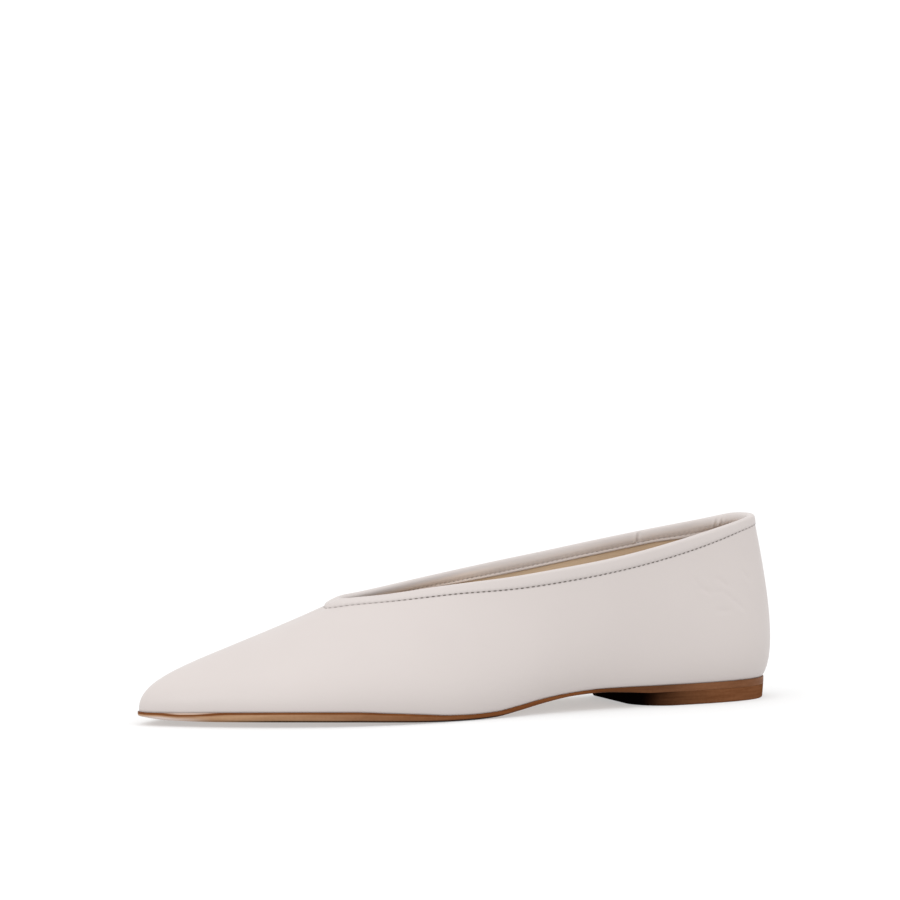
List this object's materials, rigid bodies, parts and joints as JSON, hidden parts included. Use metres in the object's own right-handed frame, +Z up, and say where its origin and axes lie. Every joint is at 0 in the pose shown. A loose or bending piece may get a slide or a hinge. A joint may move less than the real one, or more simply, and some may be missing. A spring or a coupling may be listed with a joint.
{
  "type": "flat shoe",
  "caption": "Left pointed flat shoe with a V-cut collar, hollow leather upper with a folded topline binding, thin leather outsole, low heel and insole; worn on a left foot.",
  "frame": {"origin": "on the floor, under the middle of the shoe's box", "axes": "X runs along the shoe with the toe at -X and the heel at +X, the lateral side is at -Y, Z is up"},
  "size_m": [0.2566, 0.0764, 0.0687],
  "materials": {
    "sole_leather": "brown stained and polished sole leather",
    "heel_leather": "dark brown stained heel",
    "upper_leather": "smooth off-white calf with a soft sheen",
    "binding_leather": "smooth off-white calf, folded",
    "insole_leather": "natural beige lining leather"
  },
  "bodies": {
    "root": {"outsole": "sole_leather", "heel": "heel_leather", "upper": "upper_leather", "topline_binding": "binding_leather", "insole": "insole_leather"}
  },
  "joints": []
}
